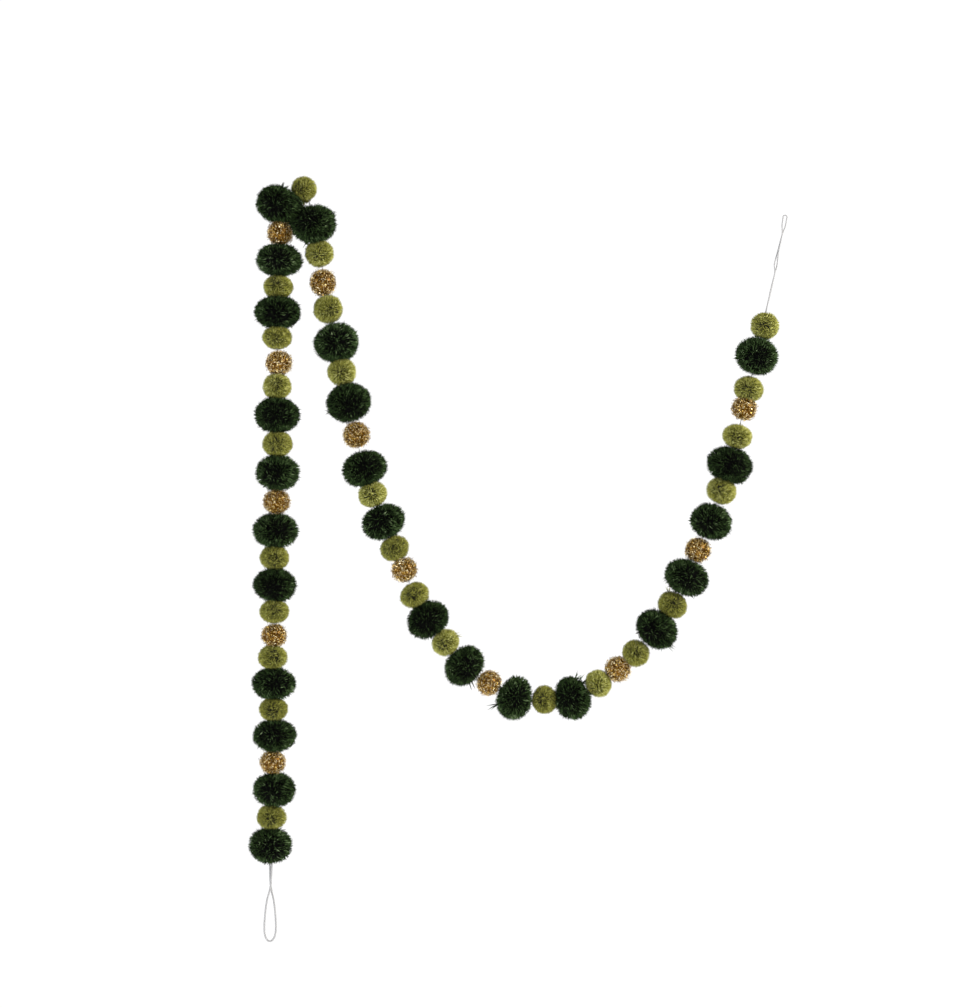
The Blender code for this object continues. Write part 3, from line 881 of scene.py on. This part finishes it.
def pompom_tree(name, of_foil):
    """Scatters cut ends over a trimmed ball. Lengths are in metres."""
    tree, given, result = group(name, BALL_INPUTS)
    place = add(tree, "GeometryNodeInputPosition")
    points, skin = scattered_points(tree, given)
    tufts, tuft_level = tuft_noise(tree, given, place)
    aim, sunk = strand_aim(tree, given, place, tufts)
    length, deep = strand_length(tree, given, sunk)
    own = chance_value(tree, 0.0, 1.0, given["Seed"], 8)
    tint = add(tree, "ShaderNodeMix", {0: given["Tuft Tint"], 2: own, 3: tuft_level})
    tint = add(tree, "ADD", [tint, given["Tone"]], use_clamp=True)

    # Each point carries its strand's values before it moves down to the root.
    points = keep(tree, points, sunk=deep, tint=tint, aim=aim, long=length)
    root = add(tree, "VECTOR SCALE", {0: aim, "Scale": given["Length"]})
    root = add(tree, "VECTOR SUBTRACT", [place, root])
    points = add(tree, "GeometryNodeSetPosition", {"Geometry": points, "Position": root})
    tip = foil_sliver(tree) if of_foil else yarn_tip(tree, given["Curl"])

    core = dense_core(tree, given, skin, place)
    whole = joined(tree, core, strands_on(tree, given, points, tip))
    whole = mapped(tree, add(tree, "GeometryNodeRealizeInstances", [whole]))
    for spent in ("aim", "long", "sunk", "stray_reach"):
        whole = add(tree, "GeometryNodeRemoveAttribute", {"Geometry": whole, "Name": spent})
    whole = add(tree, "GeometryNodeSetMaterial", {"Geometry": whole, "Material": given["Material"]})
    tree.links.new(whole.outputs[0], result.inputs[0])
    return tree


YARN_TREE = pompom_tree("cut_yarn_ball", of_foil=False)
TINSEL_TREE = pompom_tree("cut_tinsel_ball", of_foil=True)
print("nodes in the yarn's tree", len(YARN_TREE.nodes))

# %% [markdown]
# ## The finishes of the yarn and the tinsel
#
# The dark yarn is dyed acrylic or wool in bottle green. Its finish paints shade that is nearly
# black between the strands, at their roots, and a lighter green only at tips that catch the
# light. The moss yarn is finer, brushed and soft, with the same painted shade at its roots.
# Both are matt, so they have next to no gloss. Tinsel is cut metallised film: each sliver is a
# small mirror, so some flash and others stay brown, and the tints add painted glints and
# painted shade at random. Every strand carries its own tint and its height as attributes, so
# one finish gives each kind all its shades: the height sets the painted shade from root to tip.


# %% Materials: dyed yarn
STRAND_STEP = 211.0  # moves strands of nearly the same tint to fibres of their own
FIBRES_ROUND, FIBRES_UP = 3.0, 1.6  # how far the fibre pattern runs round and up a strand
FUZZ = 0.08 * MM  # how deep the fibres lie in the yarn's surface


def carried(tree):
    """What each strand carries: its tint, its height and the place round it."""
    names = ("tint", "height", "round_it")
    return [add(tree, "ShaderNodeAttribute", attribute_name=n).outputs["Fac"] for n in names]


def tinted(tree, tint, tints, height, root):
    """The ramp of tints, darkened by a ramp of painted shade that runs from a strand's root to its
    tip.
    """
    base = add(tree, "ShaderNodeValToRGB", {"Fac": tint}, tints)
    # Painted shade: dark at a strand's root, full colour at its tip.
    shade = add(tree, "ShaderNodeValToRGB", {"Fac": height}, root)
    both = {0: 1.0, 6: base, 7: shade}
    return add(tree, "ShaderNodeMix", both, data_type="RGBA", blend_type="MULTIPLY").outputs[2]


def yarn_finish(name, tints, root, streak, sheen, gloss):
    """Matt yarn: painted shade, soft and dark at the root and paler at the tip, and fine streaks of
    fibre along each strand.
    """
    constants = {"Roughness": 0.92, "Sheen Roughness": 0.6, "Sheen Weight": sheen}
    material, tree, shader = new_finish(name, {**constants, "Specular IOR Level": gloss})
    tint, height, round_it = carried(tree)
    # The tint with the painted shade from root to tip.
    lit = tinted(tree, tint, tints, height, root)
    own = add(tree, "MULTIPLY", [tint, STRAND_STEP])
    across = add(tree, "ADD", [own, add(tree, "MULTIPLY", [round_it, FIBRES_ROUND])])
    up = add(tree, "MULTIPLY", [height, FIBRES_UP])
    place = add(tree, "ShaderNodeCombineXYZ", [across, up])
    fibres = add(tree, "ShaderNodeTexNoise", {"Vector": place, "Scale": 2.0, "Detail": 2.0})
    span = {"From Min": 0.25, "From Max": 0.75, "To Min": 1 - streak, "To Max": 1 + streak}
    streaks = add(tree, "ShaderNodeMapRange", {"Value": fibres, **span})
    final = add(tree, "VECTOR SCALE", {0: lit, "Scale": streaks})
    bump = add(tree, "ShaderNodeBump", {"Height": fibres, "Distance": FUZZ, "Strength": 0.5})
    tree.links.new(final.outputs[0], shader.inputs["Base Color"])
    tree.links.new(bump.outputs[0], shader.inputs["Normal"])
    return material


# The first ramp is the tints of the strands, and the second is the painted shade from a strand's root
# to its tip.
DARK_YARN = yarn_finish(
    "bottle_green_yarn",
    [(0.1, "0a1006"), (0.42, "182410"), (0.66, "2b3d1e"), (0.86, "445736"), (1.0, "6d7d5c")],
    [(0.0, "080808"), (0.66, "464646"), (0.86, "9c9c9c"), (1.0, "ffffff")],
    streak=0.25, sheen=0.0, gloss=0.06,
)
MOSS_YARN = yarn_finish(
    "moss_green_brushed_yarn",
    [(0.0, "464716"), (0.3, "696a26"), (0.65, "8d8d3b"), (1.0, "cacb80")],
    [(0.0, "161604"), (0.6, "626238"), (0.88, "dedec4"), (1.0, "ffffff")],
    streak=0.15, sheen=0.05, gloss=0.1,
)
print("nodes in a yarn's finish", len(DARK_YARN.node_tree.nodes))


# %% Material: gold tinsel film
def tinsel_finish():
    """Thin gold film, half mirror and half lacquer: bright where a sliver faces the light and
    brown where it doesn't. Each sliver's tint adds a painted glint or painted shade at random,
    and the foot of each sliver is painted in shade."""
    constants = {"Metallic": 0.5, "Roughness": 0.25, "Specular Tint": colour("f2d488")}
    material, tree, shader = new_finish("gold_tinsel_film", constants)
    tint, height, _ = carried(tree)
    # The tints are partly painted: near-white slivers are painted glints and dark brown ones painted
    # shade, at random.
    tints = [(0.0, "4c380b"), (0.35, "937024"), (0.58, "f0cf70"), (0.76, "fff6c6"), (1.0, "fffdee")]
    # This ramp paints shade at the foot of each sliver.
    root = [(0.0, "8a7048"), (0.4, "e8e0d0"), (1.0, "ffffff")]
    tree.links.new(tinted(tree, tint, tints, height, root), shader.inputs["Base Color"])
    return material


TINSEL = tinsel_finish()
print("nodes in the tinsel's finish", len(TINSEL.node_tree.nodes))

# %% [markdown]
# ## Making every ball
#
# The kinds differ in the numbers given to the tree, and the tinsel in its tip. The dark yarn
# is thick and ragged, the moss yarn is fine and even, and the tinsel is short stiff slivers
# that lean every way. Each ball is a piece of its own and takes the place of its CAD node; the
# four that are squeezed together where the garland turns over share one node. No two pompoms
# are cut alike, so each is grown from its own seed, and none is a copy of another.

# %% Values for each kind
LOOKS = {
    # input: dark yarn, light yarn, tinsel
    "Spacing": (0.96 * MM, 0.69 * MM, 0.60 * MM),
    "Length": (9.0 * MM, 6.0 * MM, 2.2 * MM),
    "Width": (1.15 * MM, 0.74 * MM, 0.7 * MM),
    "Ragged": (1.4 * MM, 0.75 * MM, 0.6 * MM),
    "Loose Share": (0.02, 0.02, 0.05),
    "Loose Reach": (1.5 * MM, 0.9 * MM, 1.0 * MM),
    "Lean": (0.34, 0.45, 1.5),
    "Tuft Lean": (0.6, 0.3, 0.0),
    "Tuft Size": (5.0 * MM, 3.0 * MM, 3.0 * MM),
    "Tuft Tint": (0.5, 0.35, 0.0),
    "Curl": (0.7, 0.5, 0.0),
    "Core": (0.86, 0.90, 0.89),
    "Parting": (0.5, 0.7, 0.0),
    "Parting Width": (0.5, 0.75, 0.8),
    "Pit": (0.8, 0.55, 0.0),
    "Fan": (0.0, 0.25, 0.0),
    "Material": (DARK_YARN, MOSS_YARN, TINSEL),
}
TIE_SWING = 0.45  # how far the tie may point away from the front, as a share
TONES = {"dark": 0.08, "light": 0.12, "gold": 0.05}  # how much one ball is paler than another
BALL_SEED = 1000
SEED_STEP = 20  # more than the steps that one tree takes from its seed
print("values for each kind", len(LOOKS))

# %% All 62 balls
total = 0
for number in range(1, POMPOMS + 1):
    name = kind_name(number)
    column = list(KINDS).index(name)
    base = trimmed_ball(number)
    chance = random.Random(BALL_SEED + number)
    tie = -FRONT + Vector((chance.uniform(-1, 1), 0.0, chance.uniform(-1, 1))) * TIE_SWING
    values = {label: row[column] for label, row in LOOKS.items()}
    values.update(Centre=CENTRES[number], Tie=tie.normalized(), Seed=number * SEED_STEP)
    values["Tone"] = chance.uniform(-1, 1) * TONES[name]
    tree = TINSEL_TREE if name == "gold" else YARN_TREE
    piece = grow(f"{KINDS[name]['piece']}_{number:02d}", base, tree, values)
    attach(piece, "root")
    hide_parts("bunch_at_peg" if number in FOLD else f"{KINDS[name]['node']}_{number:02d}")
    total += triangles(piece)
print("all balls", total, "triangles")

# %% [markdown]
# ## The studio
#
# The garland is lit by large soft lights against pure white, with the main one high on the
# right and a weaker fill on the left. The world gives the even light of a white room, and
# three big panels give the direction. Small lamps would give hard shadows, which yarn this
# dark would lose its shape in. The floor is plain and pale, well below the hanging end.

# %% Floor
FLOOR_DROP, FLOOR_REACH = 1.25, 6.0
FLOOR_BACK = 1.9  # how far the floor goes on behind the garland
GARLAND_MIDDLE = 0.18

floor_mesh = bmesh.new()
bmesh.ops.create_circle(floor_mesh, cap_ends=True, segments=96, radius=FLOOR_REACH)
floor_data = bpy.data.meshes.new("floor")
floor_mesh.to_mesh(floor_data)
floor_mesh.free()
floor_data.transform(Matrix.Translation((GARLAND_MIDDLE, -FLOOR_REACH + FLOOR_BACK, -FLOOR_DROP)))
floor = placed("floor", floor_data)
# It gives off a little light, so that its far side is as white as the room and no edge shows.
glow = {"Emission Color": colour("ffffff"), "Emission Strength": 0.4}
pale, _, _ = new_finish("pale_floor", {"Base Color": colour("f4f4f2"), "Roughness": 0.9, **glow})
floor_data.materials.append(pale)
print("floor at", -FLOOR_DROP, "m")

# %% World
ROOM_FRONT, ROOM_BACK = 0.35, 1.1  # light from the viewer's side of the room, and from behind
WHITE = 1.05  # how bright the room itself looks

world = bpy.data.worlds.new("white_room")
bpy.context.scene.world = world
world.use_nodes = True
room = world.node_tree
room.nodes.clear()
white = add(room, "ShaderNodeBackground", {"Color": colour("ffffff"), "Strength": WHITE})
way = add(room, "ShaderNodeTexCoord").outputs["Generated"]
depth = add(room, "ShaderNodeSeparateXYZ", {0: way}).outputs[1]
level = {"Value": depth, "From Min": -1.0, "To Min": ROOM_FRONT, "To Max": ROOM_BACK}
level = add(room, "ShaderNodeMapRange", level)
soft = add(room, "ShaderNodeBackground", {"Color": colour("fdfdff"), "Strength": level})
seen = add(room, "ShaderNodeLightPath").outputs["Is Camera Ray"]
both = add(room, "ShaderNodeMixShader", {0: seen, 1: soft, 2: white})
add(room, "ShaderNodeOutputWorld", {0: both})
bpy.context.scene.view_settings.view_transform = "Standard"
print("light of the room", ROOM_FRONT, "to", ROOM_BACK)

# %% Lights
PANELS = (
    # name, place in m, diameter in m, watts, colour
    ("key_panel", (2.3, -1.1, 1.0), 1.1, 95.0, "fffaf2"),
    ("fill_panel", (-2.1, -0.9, -0.2), 1.4, 38.0, "f6f9ff"),
    ("low_panel", (0.3, -1.2, -1.2), 1.0, 18.0, "ffffff"),
)


def panel(name, place, size, power, tint):
    """A large soft light that faces the middle of the garland."""
    data = bpy.data.lights.new(name, "AREA")
    data.shape, data.size, data.energy = "DISK", size, power
    data.color = colour(tint)[:3]
    light = placed(name, data)
    light.location = place
    light.rotation_euler = (middle - Vector(place)).to_track_quat("-Z", "Y").to_euler()


for row in PANELS:
    panel(*row)
print("lights", len(PANELS))
